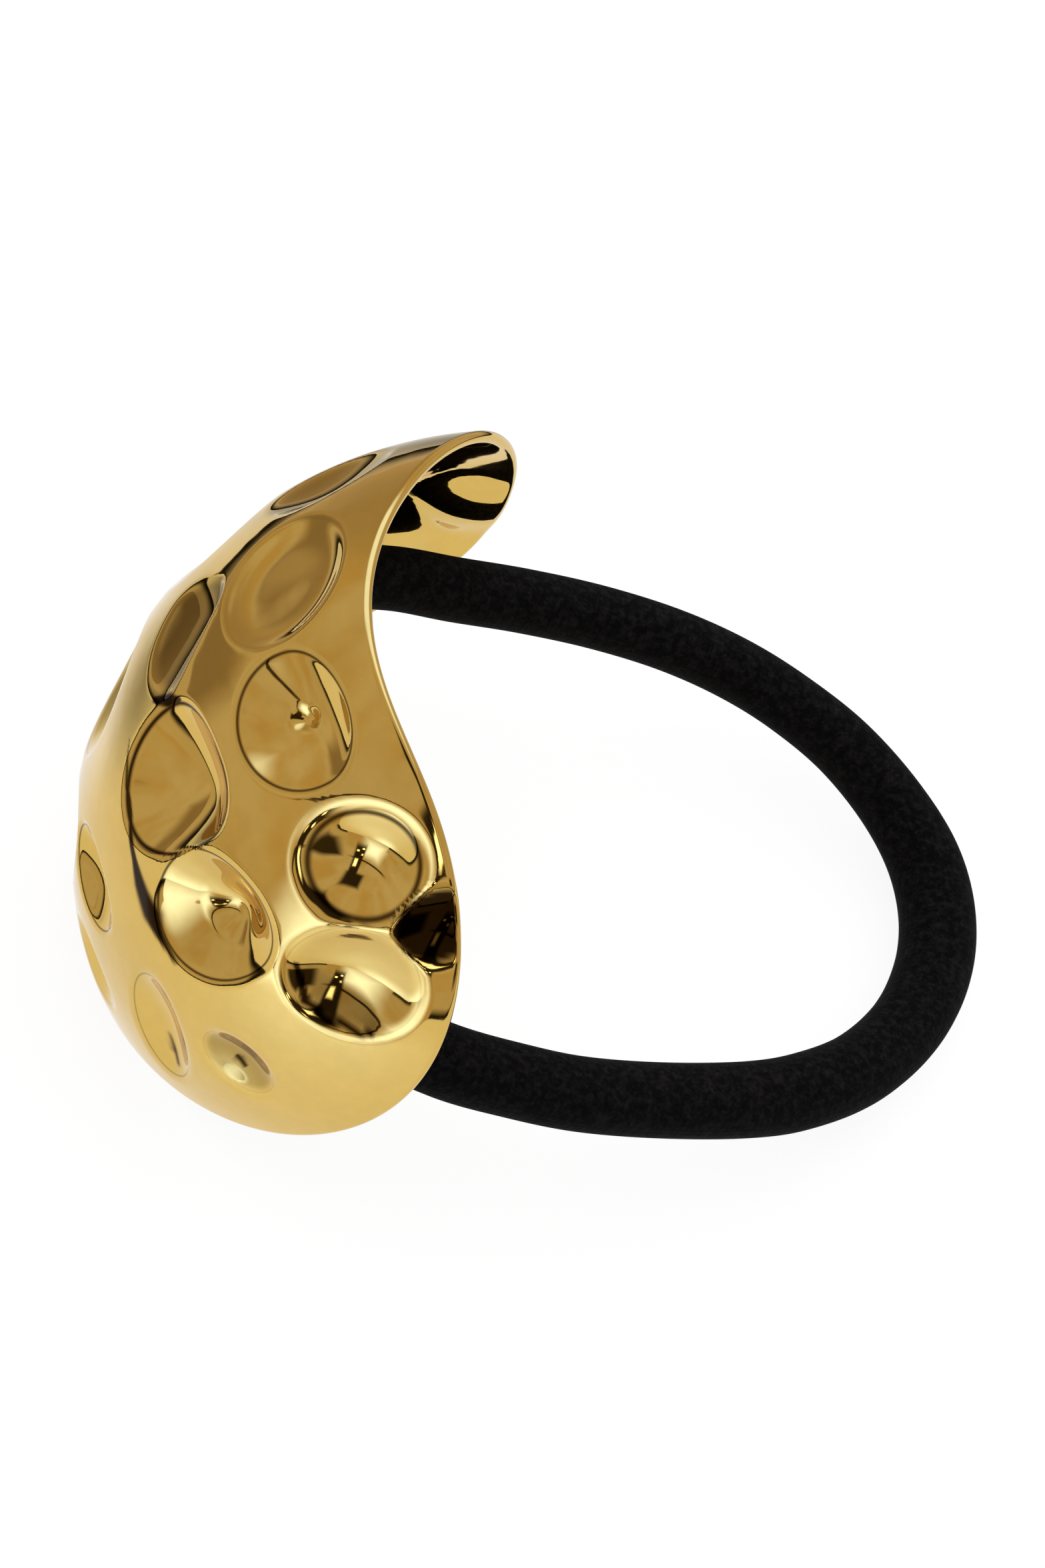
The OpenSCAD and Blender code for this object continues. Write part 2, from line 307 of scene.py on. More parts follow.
class Finishes(bpy.types.PropertyGroup):
    """Colours of the metal, of its painted dark reflections and shade, and of the elastic's cover."""

    gold: FloatVectorProperty(
        name="Gold", description="Colour of the metal",
        subtype="COLOR", size=3, default=(0.70, 0.47, 0.118), min=0, max=1,
    )
    # Colour of the painted dark reflections and shade along the dents' edges, in the darkest dents and along
    # the creases
    painted_dark_colour: FloatVectorProperty(
        name="Tarnish", description="Colour of the metal along the dents' edges and in the dull ones",
        subtype="COLOR", size=3, default=(0.10, 0.045, 0.008), min=0, max=1,
    )
    shine: FloatProperty(
        name="Roughness", description="Roughness of the polished metal",
        subtype="FACTOR", default=0.035, min=0, max=1,
    )
    cover: FloatVectorProperty(
        name="Cover", description="Colour of the elastic's cover",
        subtype="COLOR", size=3, default=(0.0022, 0.0019, 0.0018), min=0, max=1,
    )


class StageSizes(bpy.types.PropertyGroup):
    """Sizes and colour of the floor, and of the table and its dark edge that the metal mirrors."""

    floor: FloatVectorProperty(
        name="Floor", description="Colour of the floor",
        subtype="COLOR", size=3, default=(0.9, 0.9, 0.9), min=0, max=1,
    )
    floor_radius: FloatProperty(
        name="Floor radius", description="Radius of the floor", unit="LENGTH", default=0.8, min=0.1
    )
    table_radius: FloatProperty(
        name="Table radius", description="Radius of the white table that the metal mirrors",
        unit="LENGTH", default=0.087,
    )
    edge_height: FloatProperty(
        name="Edge height", description="Height of the dark edge round that table",
        unit="LENGTH", default=0.014,
    )


GROUPS = {
    "tie_plate": PlateSizes,
    "tie_bails": BailSizes,
    "tie_band": BandSizes,
    "tie_finish": Finishes,
    "tie_stage": StageSizes,
}


# Shapes


def laid_down(points):
    """Points in the loop's frame, in mm, turned about u and then v, moved, and given in metres."""
    roll, tip = math.radians(ROLL), math.radians(TIP)
    turn = np.array(Matrix.Rotation(tip, 3, "Y") @ Matrix.Rotation(roll, 3, "X"))
    return (np.asarray(points) @ turn.T + np.array(REST_MOVE)) * MM


def smooth_step(x):
    """0 below 0, 1 above 1, and 3x^2 - 2x^3 between."""
    x = np.clip(x, 0, 1)
    return x * x * (3 - 2 * x)


class Plate:
    """The plate's surface as a function of s along it, t across it and a depth under its outer face."""

    # Short steps in which the middle line is summed
    STEPS = 16

    def __init__(self, sizes):
        self.sizes = sizes
        self.half_length = sizes.length / 2
        self.half_width = sizes.width / 2

    def turn(self, s):
        """Direction of the middle line: s plus a share of s squared, over the bend radius."""
        z = self.sizes
        return (s + z.bend_more * s * s / z.length) / z.bend_radius

    def middle_line(self, s):
        """Sum of short steps along the bend: u grows by the sine of the turn and v by its cosine."""
        part = (np.arange(self.STEPS) + 0.5) / self.STEPS
        turns = self.turn(s[..., None] * part)
        return s / self.STEPS * np.sin(turns).sum(-1), s / self.STEPS * np.cos(turns).sum(-1)

    def distance(self, dent, s, t):
        """Square of the distance from a dent's deepest place, which is 1 on the dent's oval.

        Its two coordinates are stretched on one side of the deepest place and squeezed on the other.
        """
        turn = math.radians(dent.turn)
        ds, dt = s - dent.along, t - dent.across
        p = (ds * math.cos(turn) + dt * math.sin(turn)) / dent.half_length
        q = (dt * math.cos(turn) - ds * math.sin(turn)) / dent.half_width
        p = (p - dent.off_long) / (1 - dent.off_long * np.sign(p - dent.off_long))
        q = (q - dent.off_wide) / (1 - dent.off_wide * np.sign(q - dent.off_wide))
        return p * p + q * q

    def dents(self, s, t):
        """Depth of the dents: each is a bowl, 1 less a power of the distance from its deepest place.

        The bowl's edge is rounded. Dents join by the root of the sum of their powers, as high as RIDGE
        says, and the pits come on top.
        """
        total = np.zeros(np.shape(s))
        for dent in DENTS:
            rise = 1 - self.distance(dent, s, t) ** (dent.bowl / 2)
            soft = np.clip(rise + dent.edge, 0, 2 * dent.edge) ** 2 / (4 * dent.edge)
            total += (dent.depth * np.where(rise > dent.edge, rise, soft)) ** RIDGE
        return total ** (1 / RIDGE) + self.pits(s, t)

    def pits(self, s, t):
        """Depth of the small pits: the square of 1 less the squared distance, times each one's depth."""
        total = np.zeros(np.shape(s))
        for pit in PITS:
            near = 1 - ((s - pit.along) ** 2 + (t - pit.across) ** 2) / pit.radius**2
            total += pit.depth * np.clip(near, 0, 1) ** 2
        return total

    def marks(self, s, t):
        """What the gold's painted dark reflections and shade follow, for the dent that a place lies deepest
        in.

        That is how far inside the dent it lies, 1 less the square of the distance; the dent's painted shade,
        which fades in from its edge, or a painted crease's if it is stronger; and the painted dark edge's
        strength and width.
        """
        inside, shade, outline, line = (
            np.full(np.shape(s), start) for start in (-1.0, 0.0, 0.0, PLAIN_LINE)
        )
        for dent in DENTS:
            here = 1 - self.distance(dent, s, t)
            deeper = here > inside
            inside = np.where(deeper, here, inside)
            shade = np.where(deeper, dent.shade, shade)
            outline = np.where(deeper, dent.outline, outline)
            line = np.where(deeper, dent.line, line)
        shade = shade * smooth_step(inside / SHADE_FADE)
        for start, end in zip(CREASES, CREASES[1:]):
            if start.name == end.name:
                shade = np.maximum(shade, self.crease(start, end, s, t))
        return {"dent_inside": inside, "dent_shade": shade, "dent_outline": outline, "dent_line": line}

    def crease(self, start, end, s, t):
        """Strength of a straight piece of painted crease: full along its middle and 0 at its width's ends.

        Its width and strength change evenly from one point to the next.
        """
        ds, dt = end.along - start.along, end.across - start.across
        part = np.clip(((s - start.along) * ds + (t - start.across) * dt) / (ds * ds + dt * dt), 0, 1)
        away = np.hypot(s - start.along - part * ds, t - start.across - part * dt)
        half_width = start.half_width + (end.half_width - start.half_width) * part
        strength = start.strength + (end.strength - start.strength) * part
        return strength * smooth_step((1 - away / half_width) * CREASE_RISE)

    def skin(self, s, t, depth):
        """The middle line, plus an arc across it that is twisted with s.

        The point is then sunk by the depth along the arc's normal.
        """
        z = self.sizes
        u, v = self.middle_line(s)
        turn = self.turn(s)
        across = t / z.cross_radius
        tilt = math.radians(z.twist) * s / self.half_length
        drop = z.cross_radius * (1 - np.cos(across))
        side = z.cross_radius * np.sin(across)
        inward = drop * np.cos(tilt) - side * np.sin(tilt) + depth * np.cos(across - tilt)
        along = drop * np.sin(tilt) + side * np.cos(tilt) - depth * np.sin(across - tilt)
        w = along + z.shift + z.lean * s + z.bow * (s / self.half_length) ** 2
        return np.stack([u + np.cos(turn) * inward, v - np.sin(turn) * inward, w], -1)

    def dented(self, s, t, depth):
        """The skin, sunk by its dents as well."""
        return self.skin(s, t, self.dents(s, t) + depth)

    def rim(self, angle):
        """Rounded oval: t is the sine, and s the power of the cosine that makes |s|^blunt + |t|^2 be 1.

        The bluntness is another one in the quarter towards the upper end's far side.
        """
        cosine, sine = np.cos(angle), np.sin(angle)
        blunt = np.where((cosine > 0) & (sine < 0), self.sizes.blunt_far, self.sizes.blunt)
        return self.half_length * np.sign(cosine) * np.abs(cosine) ** (2 / blunt), self.half_width * sine


def plate_rings(plate):
    """Rings round the plate, from the middle of its outer face over its round rim to that of the inner.

    A ring is the rim's oval, scaled towards the middle. The rim's nose is a half circle as thick as
    the wall. The angles are spaced evenly along the oval.
    """
    z = plate.sizes
    fine = np.linspace(0, TAU, OVAL_STEPS + 1)
    s, t = plate.rim(fine)
    along = np.concatenate([[0], np.cumsum(np.hypot(np.diff(s), np.diff(t)))])
    angle = np.interp(np.arange(z.spokes) / z.spokes * along[-1], along, fine)
    s, t = plate.rim(angle)
    reach = np.hypot(s, t)
    nose = z.wall / 2
    turns = np.linspace(0, math.pi, z.rim_rings + 1)[1:-1, None]
    outer = (np.arange(1, z.rings + 1)[:, None] / z.rings) ** RING_SPACING * (1 - nose / reach)
    round_rim = 1 - nose * (1 - np.sin(turns)) / reach
    inner_parts = np.arange(z.inner_rings, 0, -1)[:, None] / z.inner_rings
    inner = inner_parts**RING_SPACING * (1 - nose / reach)
    share = np.concatenate([outer, round_rim, inner, np.zeros((2, z.spokes))])
    depth = np.concatenate([
        np.zeros((z.rings, 1)),
        nose * (1 - np.cos(turns)),
        np.full((z.inner_rings, 1), z.wall),
        [[0], [z.wall]],
    ])
    points = plate.dented(s * share, t * share, depth)
    marks = plate.marks(s * share, t * share)
    # The painted dark edges and painted shade stay off the rim and the inner face
    under_outer_face = depth[:, 0] > 0
    marks["dent_outline"][under_outer_face] = 0
    marks["dent_shade"][under_outer_face] = 0
    marks = {name: np.append(values[:-2].ravel(), values[-2:, 0]) for name, values in marks.items()}
    return points[:-2], points[-2, 0], points[-1, 0], marks


def route(part):
    """Smooth closed curve through the route's points: u, v and thickness at a part of the loop.

    Between two points it is the cubic whose slope at each is half the way between that point's neighbours.
    """
    table = np.array(BAND_ROUTE)
    count = len(table)
    place = np.mod(part * count, count)
    i = np.floor(place).astype(int)
    f = (place - i)[:, None]
    a, b, c, d = (table[(i + k) % count] for k in (-1, 0, 1, 2))
    return (2 * b + (c - a) * f + (2 * a - 5 * b + 4 * c - d) * f**2 + (3 * b - a - 3 * c + d) * f**3) / 2


def band_line(count):
    """Points spaced evenly along the elastic from behind the plate's middle, and its length.

    Each point has its place and thickness, and beside them the direction outwards.
    """
    fine = np.linspace(0, 1, ROUTE_STEPS + 1) + BAND_START / len(BAND_ROUTE)
    curve = route(fine)
    along = np.concatenate([[0], np.cumsum(np.hypot(*np.diff(curve[:, :2], axis=0).T))])
    part = np.interp(np.arange(count) / count * along[-1], along, fine)
    here, ahead = route(part), route(part + AHEAD)
    way = ahead[:, :2] - here[:, :2]
    way /= np.linalg.norm(way, axis=1, keepdims=True)
    outward = np.stack([way[:, 1], -way[:, 0]], -1)
    return here, outward, along[-1]


def band_rings(sizes):
    """A circle carried along the elastic's line, in the plane of its outward direction and w."""
    here, outward, length = band_line(sizes.rings)
    angle = TAU * np.arange(sizes.sides) / sizes.sides
    radius = here[:, 2:] * sizes.thickness / 2
    u = here[:, :1] + radius * np.cos(angle) * outward[:, :1]
    v = here[:, 1:2] + radius * np.cos(angle) * outward[:, 1:]
    w = radius * np.sin(angle)
    return np.stack([u, v, w], -1), length


def rounded_bar(width, height, radius, steps=3):
    """Points round a rectangle with quarter circles at its corners, in order."""
    points = []
    for corner, (x, y) in enumerate(((1, 1), (-1, 1), (-1, -1), (1, -1))):
        for k in range(steps + 1):
            turn = (corner + k / steps) * math.pi / 2
            across = x * (width / 2 - radius) + radius * math.cos(turn)
            up = y * (height / 2 - radius) + radius * math.sin(turn)
            points.append((across, up))
    return np.array(points)


def bail_rings(bail, plate, sizes):
    """A bar carried down one leg, round a half circle over the elastic and down the other leg.

    Each edge of a leg runs on to the middle of the plate's wall, at the nearest of many places on it.
    """
    z = plate.sizes
    way = math.radians(bail.way)
    across = -z.shift - z.lean * bail.place - z.bow * (bail.place / plate.half_length) ** 2
    slope = across / z.cross_radius - math.radians(z.twist) * bail.place / plate.half_length
    tangent = np.array([math.sin(way), math.cos(way), 0])
    outward = np.array([-math.cos(way) * math.cos(slope), math.sin(way) * math.cos(slope), math.sin(slope)])
    side = np.cross(tangent, outward)
    centre = np.array([bail.u, bail.v, 0])
    radius = BAND_ROUTE[0].thick / 2 + sizes.slack + sizes.strap / 2
    bar = rounded_bar(sizes.length, sizes.strap, STRAP_EDGE)
    long_way, wide_way = (
        np.linspace(-reach, reach, round(2 * reach / SEARCH_STEP) + 1) for reach in (SEARCH_LONG, SEARCH_WIDE)
    )
    s, t = np.meshgrid(bail.place + long_way, across + wide_way)
    wall = plate.dented(s, t, z.wall * LEG_END).reshape(-1, 3) - centre

    def feet(direction):
        """Distance from the centre to the wall's middle along each point of a leg's bar."""
        found = []
        for x, y in bar:
            lateral = wall @ side * direction - (radius + y)
            along = wall @ tangent - x
            near = lateral**2 + along**2
            found.append((wall @ outward)[np.argmin(near)])
        return np.array(found)

    def ring(arm, reach):
        """The bar at the end of an arm from the centre, moved outwards by the reach of each of its points."""
        return centre + bar[:, :1] * tangent + arm * (radius + bar[:, 1:]) + outward * reach[:, None]

    down, up = feet(-1), feet(1)
    rings = [ring(-side, down * share) for share in np.linspace(1, 0, LEG_RINGS)]
    for turn in np.linspace(0, math.pi, ARCH_RINGS)[1:-1]:
        rings.append(ring(-side * math.cos(turn) - outward * math.sin(turn), np.zeros(len(bar))))
    rings += [ring(side, up * share) for share in np.linspace(0, 1, LEG_RINGS)]
    rings = np.array(rings)
    return rings, rings[0].mean(0), rings[-1].mean(0)


def tongue_rings(plate, sizes):
    """A bar carried along the plate's inner face, sunk in it by the depth of its solder."""
    z = plate.sizes
    bar = rounded_bar(sizes.tongue_width, sizes.strap, TONGUE_EDGE)
    rings = []
    for s in np.linspace(-0.5, 0.5, TONGUE_RINGS) * sizes.tongue_length + sizes.tongue_along:
        along = np.full(len(bar), s)
        depth = z.wall - SOLDER + sizes.strap / 2 + bar[:, 1]
        rings.append(plate.dented(along, sizes.tongue_across + bar[:, 0], depth))
    rings = np.array(rings)
    return rings, rings[0].mean(0), rings[-1].mean(0)


# Meshes


def grid_cells(rows, columns, closed):
    """Corner numbers of the quads between the rings of a tube, whose columns close round."""
    r = np.arange(rows if closed else rows - 1)[:, None]
    c = np.arange(columns)[None, :]
    r2, c2 = (r + 1) % rows, (c + 1) % columns
    corners = (r * columns + c, r * columns + c2, r2 * columns + c2, r2 * columns + c)
    return np.stack(np.broadcast_arrays(*corners), -1).reshape(-1, 4)


def make_object(name, points, faces, uv=None):
    """A smooth mesh object at the origin, from points in metres and faces as lists of corner numbers."""
    mesh = bpy.data.meshes.new(name)
    mesh.from_pydata(points.tolist(), [], faces)
    if uv is not None:
        layer = mesh.uv_layers.new(name="surface")
        layer.data.foreach_set("uv", np.asarray(uv, np.float32).ravel())
    mesh.shade_smooth()
    mesh.update()
    if mesh.validate():
        raise RuntimeError(f"{name} has faces that a mesh can't hold")
    piece = bpy.data.objects.new(name, mesh)
    bpy.context.scene.collection.objects.link(piece)
    return piece


def tube_uv(rows, columns):
    """How far along and round a ring-shaped tube each corner of its quads lies, from 0 to 1."""
    row, column = np.divmod(np.arange(rows * columns), columns)
    along = np.stack([row, row, row + 1, row + 1], -1) / rows
    around = np.stack([column, column + 1, column + 1, column], -1) / columns
    return np.stack([along, around], -1)


def closed_tube(name, rings, first, last):
    """A tube of rings that is closed by a fan to a point at each end."""
    rows, columns = rings.shape[:2]
    points = np.concatenate([laid_down(rings).reshape(-1, 3), laid_down([first, last])])
    quads = grid_cells(rows, columns, False)
    c = np.arange(columns)
    start, end = rows * columns, rows * columns + 1
    base = (rows - 1) * columns
    near = np.stack([np.full(columns, start), (c + 1) % columns, c], -1)
    far = np.stack([np.full(columns, end), base + c, base + (c + 1) % columns], -1)
    faces = quads.tolist() + near.tolist() + far.tolist()
    piece = make_object(name, points, faces)
    face_outward(piece)
    return piece


def face_outward(piece):
    """Turns every face over if the closed mesh has a negative volume."""
    mesh = piece.data
    mesh.calc_loop_triangles()
    co = np.zeros(len(mesh.vertices) * 3)
    mesh.vertices.foreach_get("co", co)
    corner = np.zeros(len(mesh.loop_triangles) * 3, np.int32)
    mesh.loop_triangles.foreach_get("vertices", corner)
    a, b, c = co.reshape(-1, 3)[corner.reshape(-1, 3)].transpose(1, 0, 2)
    if np.einsum("ij,ij->i", a, np.cross(b, c)).sum() < 0:
        mesh.flip_normals()


def finish_piece(piece, node, material):
    """Gives a piece its body and its material, and hides the CAD node that it stands for."""
    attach(piece, BODY)
    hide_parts(node)
    piece.data.materials.append(material)


# Materials

# Sockets of a Mix node that take the factor and the two colours, and the one that gives their mix
MIX_FACTOR = 0
MIX_A = 6
MIX_B = 7
MIX_RESULT = 2


class Maths:
    """A socket that adds Math nodes when it is used in an expression."""

    def __init__(self, tree, socket):
        self.tree = tree
        self.socket = socket

    def op(self, operation, *others):
        node = self.tree.add("ShaderNodeMath", {"operation": operation}, dict(enumerate((self, *others))))
        return Maths(self.tree, node.outputs[0])

    def reflected(self, operation, other):
        node = self.tree.add("ShaderNodeMath", {"operation": operation}, {0: other, 1: self})
        return Maths(self.tree, node.outputs[0])

    def __add__(self, other):
        return self.op("ADD", other)

    def __sub__(self, other):
        return self.op("SUBTRACT", other)

    def __mul__(self, other):
        return self.op("MULTIPLY", other)

    def __truediv__(self, other):
        return self.op("DIVIDE", other)

    def __rsub__(self, other):
        return self.reflected("SUBTRACT", other)

    def __rtruediv__(self, other):
        return self.reflected("DIVIDE", other)

    __radd__ = __add__
    __rmul__ = __mul__

    def sine(self):
        return self.op("SINE")

    def magnitude(self):
        return self.op("ABSOLUTE")

    def at_least(self, other):
        return self.op("MAXIMUM", other)

    def step(self, low, high):
        """0 below low and 1 above high, with a smooth rise between."""
        return self.tree.value(
            "ShaderNodeMapRange",
            {"interpolation_type": "SMOOTHSTEP"},
            {"Value": self, "From Min": low, "From Max": high},
        )


class Nodes:
    """A material's or the world's node tree, emptied, with one method that adds a node."""

    def __init__(self, owner):
        owner.use_nodes = True
        self.tree = owner.node_tree
        self.tree.nodes.clear()

    def add(self, kind, settings=None, sockets=None):
        """Adds a node, sets its settings first, and then links or sets its sockets."""
        node = self.tree.nodes.new(kind)
        for name, value in (settings or {}).items():
            setattr(node, name, value)
        for name, value in (sockets or {}).items():
            if isinstance(value, Maths):
                value = value.socket
            if isinstance(value, bpy.types.NodeSocket):
                self.tree.links.new(value, node.inputs[name])
            else:
                node.inputs[name].default_value = value
        return node

    def value(self, kind, settings=None, sockets=None, output=0):
        """Adds a node and gives one of its outputs for use in an expression."""
        return Maths(self, self.add(kind, settings, sockets).outputs[output])

    def mix(self, factor, a, b):
        """Colour a where the factor is 0 and b where it is 1."""
        node = self.add("ShaderNodeMix", {"data_type": "RGBA"}, {MIX_FACTOR: factor, MIX_A: a, MIX_B: b})
        return node.outputs[MIX_RESULT]

    def noise(self, place, scale, detail, rough=0.5):
        """A cloudy pattern, mostly near 0.5."""
        return self.value("ShaderNodeTexNoise", sockets={
            "Vector": place, "Scale": scale, "Detail": detail, "Roughness": rough})

    def measure(self, operation, a, b):
        """The one number that a vector operation gives for two vectors."""
        return self.value("ShaderNodeVectorMath", {"operation": operation}, {0: a, 1: b}, "Value")

    def bump(self, strength, distance, height):
        """A normal that follows a height."""
        sockets = {"Strength": strength, "Distance": distance, "Height": height}
        return self.add("ShaderNodeBump", sockets=sockets).outputs[0]

    def surface(self, kind, sockets):
        """Adds a shader and makes it the material's surface."""
        shader = self.add(kind, sockets=sockets)
        self.add("ShaderNodeOutputMaterial", sockets={"Surface": shader.outputs[0]})


# Factors on the gold's colour where it is worn and where it isn't, and the broad wear's share beside the
# fine wear's
WORN = 0.93
FRESH = 1.04
BROAD_WEAR = 0.6
# How much rougher the gold is where it is smeared
SMEAR_ROUGHNESS = 0.03
# Part of the painted dark reflection and shade that turns black where it is strongest
PAINTED_BLACK_SHARE = 0.8
# Least width of a painted dark edge, which keeps the division by it in bounds
THINNEST_LINE = 0.01
# Factors on the cover's colour in its hollows, a painted shade, and on its pale fibres
COVER_DEEP = 0.6
COVER_PALE = 4.6
# Stitches by which a column's middle runs ahead of its sides, and the knit's share beside the nap's
STITCH_SLANT = 0.5
KNIT_SHARE = 0.3


def rgb(colour, factor=1.0):
    """The colour times a factor, with an alpha of 1."""
    return (*(c * factor for c in colour), 1)


def start_material(name):
    """A new material, its node tree and the place on the object."""
    material = bpy.data.materials.new(name)
    nodes = Nodes(material)
    return material, nodes, nodes.add("ShaderNodeTexCoord").outputs["Object"]


def gold_material(finish):
    """Mirror-polished gold with soft waves, cloudy wear and a thin painted dark reflection line round each
    dent.

    The line is where the plate's dent_inside attribute lies between 0 and twice dent_line, as strong as
    dent_outline says, and dent_shade paints dark reflection and shade into a hollow or along a crease. A
    piece without those attributes reads 0 and is plain.
    """
    material, nodes, place = start_material("polished_gold")

    def mark(name):
        return nodes.value("ShaderNodeAttribute", {"attribute_name": name}, output="Fac")

    broad = nodes.noise(place, scale=150, detail=4).step(low=0.3, high=0.7)
    fine = nodes.noise(place, scale=900, detail=4, rough=0.7).step(low=0.35, high=0.75)
    wear = broad * BROAD_WEAR + fine * (1 - BROAD_WEAR)
    colour = nodes.mix(wear, rgb(finish.gold, WORN), rgb(finish.gold, FRESH))
    # Painted dark reflections and shade: the line round each dent and the dents' and creases' shade
    width = mark("dent_line").at_least(THINNEST_LINE)
    line = (1 - (mark("dent_inside") / width - 1).magnitude()).step(0, 1) * mark("dent_outline")
    dark = line.at_least(mark("dent_shade"))
    colour = nodes.mix(dark, colour, rgb(finish.painted_dark_colour))
    colour = nodes.mix(dark * dark * PAINTED_BLACK_SHARE, colour, rgb((0, 0, 0)))
    smears = nodes.noise(place, scale=900, detail=5, rough=0.7).step(low=0.3, high=0.8)
    roughness = smears * SMEAR_ROUGHNESS + finish.shine
    waves = nodes.noise(place, scale=240, detail=2)
    nodes.surface("ShaderNodeBsdfPrincipled", {
        "Base Color": colour,
        "Metallic": 1.0,
        "Roughness": roughness,
        "Normal": nodes.bump(strength=0.1, distance=0.0004, height=waves),
    })
    return material


def cover_material(finish, sizes, length):
    """Black knitted cover: columns of small slanting stitches with a soft nap and some paler fibres, which
    are dimmer in the knit's hollows as painted shade.
    """
    material, nodes, place = start_material("black_knit")
    uv = nodes.add("ShaderNodeUVMap", {"uv_map": "surface"}).outputs[0]
    split = nodes.add("ShaderNodeSeparateXYZ", sockets={0: uv})
    along, around = Maths(nodes, split.outputs[0]), Maths(nodes, split.outputs[1])
    rows = round(length / sizes.stitch)
    column = around * (TAU * sizes.columns / 2)
    slant = column.sine().magnitude()
    stitch = ((along * rows + slant * STITCH_SLANT) * TAU).sine() * 0.5 + 0.5
    knit = stitch * slant
    nap = nodes.noise(place, scale=1900, detail=4, rough=0.7)
    height = knit * KNIT_SHARE + nap * (1 - KNIT_SHARE)
    # The pale fibres are dimmer where the knit and nap are low: painted shade in the hollows
    pale = nap.step(low=0.38, high=0.74) * (knit * KNIT_SHARE + (1 - KNIT_SHARE))
    colour = nodes.mix(pale, rgb(finish.cover, COVER_DEEP), rgb(finish.cover, COVER_PALE))
    nodes.surface("ShaderNodeBsdfPrincipled", {
        "Base Color": colour,
        "Roughness": 0.9,
        "Specular IOR Level": 0.06,
        "Sheen Weight": 0.008,
        "Sheen Roughness": 0.5,
        "Normal": nodes.bump(strength=0.35, distance=0.0002, height=height),
    })
    return material


def material_once(name, build):
    """The material of that name, built if it isn't there yet."""
    return bpy.data.materials.get(name) or build()


# Stage

# A bright or a dark panel in the studio: the direction of its middle as azimuth and elevation and its
# half width and half height, in degrees, the softness of its edge and its colour
Card = namedtuple("Card", "azimuth elevation half_width half_height soft colour")
CARDS = (
    Card(112, 12, 24, 26, 0.6, (0.44, 0.35, 0.26)),
    Card(154, -6, 16, 10, 0.5, (0.32, 0.25, 0.19)),
    Card(-116, -1, 12, 13, 1.0, (1.9, 2.5, 4.6)),
    Card(-120, 25, 30, 1.5, 0.3, (0.05, 0.04, 0.03)),
    Card(-98, 28, 7, 32, 0.25, (0.03, 0.022, 0.015)),
    Card(-106, 58, 14, 10, 0.3, (0.03, 0.022, 0.015)),
    Card(-62, 8, 14, 14, 0.3, (0.04, 0.03, 0.02)),
    Card(-96, 31, 2, 6, 0.5, (4.0, 4.0, 4.0)),
    Card(-95, 8, 1.2, 1.2, 0.5, (6.0, 6.0, 5.0)),
    Card(-101, 3, 1.2, 1.0, 0.5, (6.0, 6.0, 5.0)),
    Card(-102, 14, 1.0, 1.6, 0.5, (3.0, 2.6, 2.0)),
    Card(77, 62, 34, 20, 0.4, (1.3, 1.6, 2.8)),
)
# Least depth of a direction in front of a panel, which keeps the directions behind it off it
LEAST_DEPTH = 0.001
# The tent round the table: its mean colour, and the two that its clouds lie between
TENT = (0.63, 0.55, 0.46)
TENT_WARM = (0.60, 0.47, 0.30)
TENT_PALE = (0.66, 0.60, 0.56)
# Direction that the soft light on cloth and floor comes from, and its least and its greatest strength
SOFT_LIGHT = (0.15, 0.55, 0.82)
SOFT_DIM = 0.3
SOFT_BRIGHT = 1.9
# Factors between which the paper's colour varies on the floor, and its own glow
FLOOR_SHARES = (0.12, 0.13)
FLOOR_GLOW = 0.9
# Sides of the floor and of the table
DISC_SIDES = 128
# Middle of the white table that the metal mirrors, and the part of its rim that has a dark edge, in degrees
TABLE_MIDDLE = (0, -0.012, 0)
EDGE_ARC = (-92, 222)
# The table's brightness, and its pools of brighter light and the part's shadows on it: each with its
# middle, its radius, and the colour that its middle takes on by the given part
TABLE_LIGHT = 0.97
Pool = namedtuple("Pool", "middle radius colour part")
POOLS = (
    Pool((-0.030, -0.058, 0), 0.040, (1.3, 1.5, 2.2), 0.8),
    Pool((-0.055, -0.072, 0), 0.028, (1.9, 2.5, 4.6), 1),
    Pool((-0.041, 0.013, 0), 0.012, (1.4, 1.6, 2.4), 0.4),
    Pool((-0.058, 0.024, 0), 0.026, (0, 0, 0), 0.6),
    Pool((-0.012, 0.062, 0), 0.036, (0, 0, 0), 0.65),
)
# Heights of the dark edge, painted shade along the table's rim: of its black part, and of its fade's end at
# the front and at the back; then the places along Y between which it grows from the one to the other, and its
# colour
EDGE_DARK = 0.002
EDGE_FRONT = 0.006
EDGE_BACK = 0.014
EDGE_GROWS = (-0.012, 0.068)
EDGE_COLOUR = (0.012, 0.009, 0.006)


